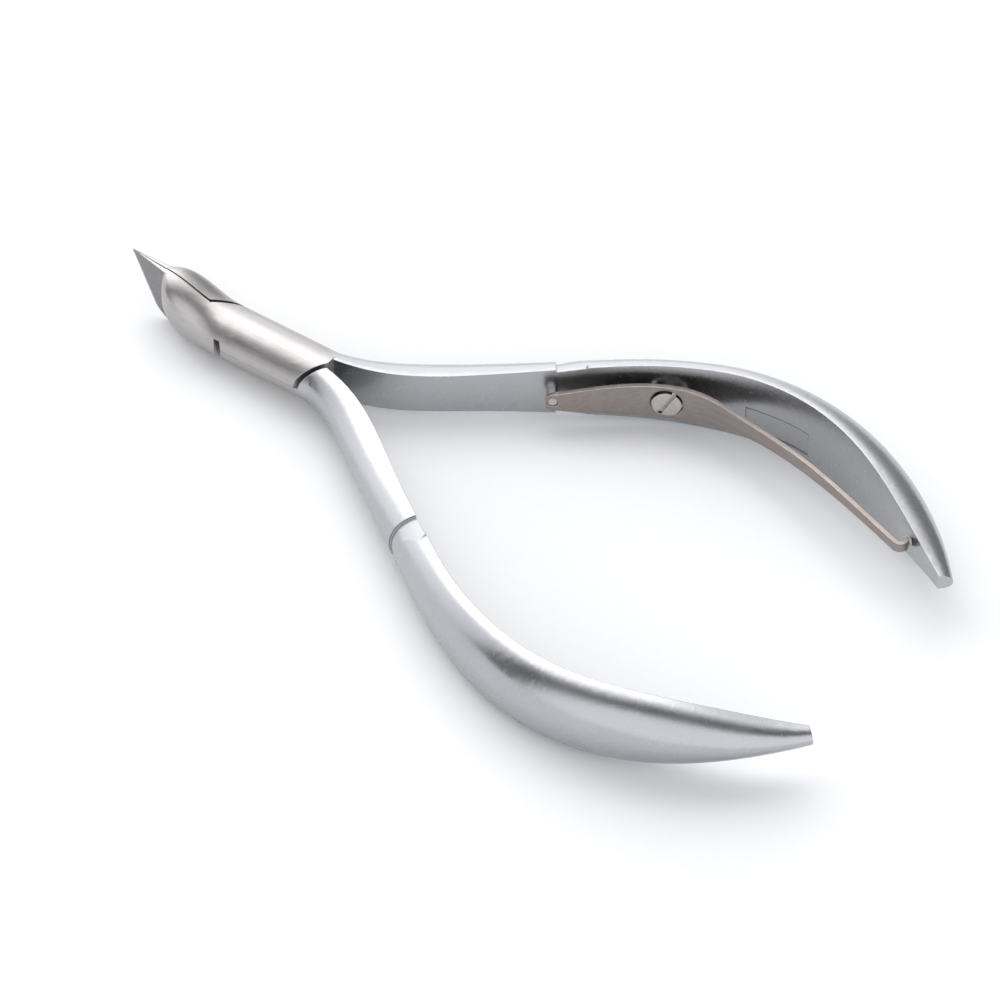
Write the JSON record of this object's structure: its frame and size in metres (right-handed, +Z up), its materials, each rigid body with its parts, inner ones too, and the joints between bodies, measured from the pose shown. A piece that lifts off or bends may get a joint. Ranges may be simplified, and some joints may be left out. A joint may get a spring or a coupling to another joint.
{
  "type": "cuticle nipper",
  "caption": "Cuticle nipper with a lap joint, pointed jaws, bowed handles and a leaf spring along one handle.",
  "frame": {"origin": "middle of the bounding box in plan, at the level of the lowest point, the underside of the handles", "axes": "+X from the jaws to the handle ends, +Y towards the handle that carries the leaf spring, +Z up, out of the smooth side of the joint"},
  "size_m": [0.1128, 0.0624, 0.0123],
  "materials": {
    "forged_steel": "satin stainless steel, bead blasted on the handles and finely brushed on the joint and jaws",
    "spring_steel": "warm grey spring steel, brushed along its length",
    "screw_steel": "bright turned steel"
  },
  "bodies": {
    "upper": {"upper_half": "forged_steel", "spring_rivet": "screw_steel"},
    "lower": {"lower_half": "forged_steel"},
    "spring": {"leaf_spring": "spring_steel"},
    "pivot_screw": {"pivot_screw": "screw_steel"},
    "spring_screw": {"spring_screw": "screw_steel"}
  },
  "joints": [
    {"name": "handle_pivot", "type": "hinge", "parent": "upper", "child": "lower", "pos_m": [-0.03501, 0, 0.00629], "axis": [0, 0, -1], "range_deg": [0, 18]},
    {"name": "spring_flex", "type": "hinge", "parent": "upper", "child": "spring", "pos_m": [-0.00111, 0.01365, 0.00539], "axis": [0, 0, -1], "range_deg": [0, 12], "stiffness_Nm_per_rad": 1.25},
    {"name": "pivot_screw_turn", "type": "hinge", "parent": "upper", "child": "pivot_screw", "pos_m": [-0.03501, 0, 0.00539], "axis": [0, 0, 1], "range_deg": [-90, 90]},
    {"name": "spring_screw_turn", "type": "hinge", "parent": "upper", "child": "spring_screw", "pos_m": [0.01019, 0.02284, 0.00539], "axis": [0.4576, -0.8891, 0], "range_deg": [-90, 90]}
  ]
}
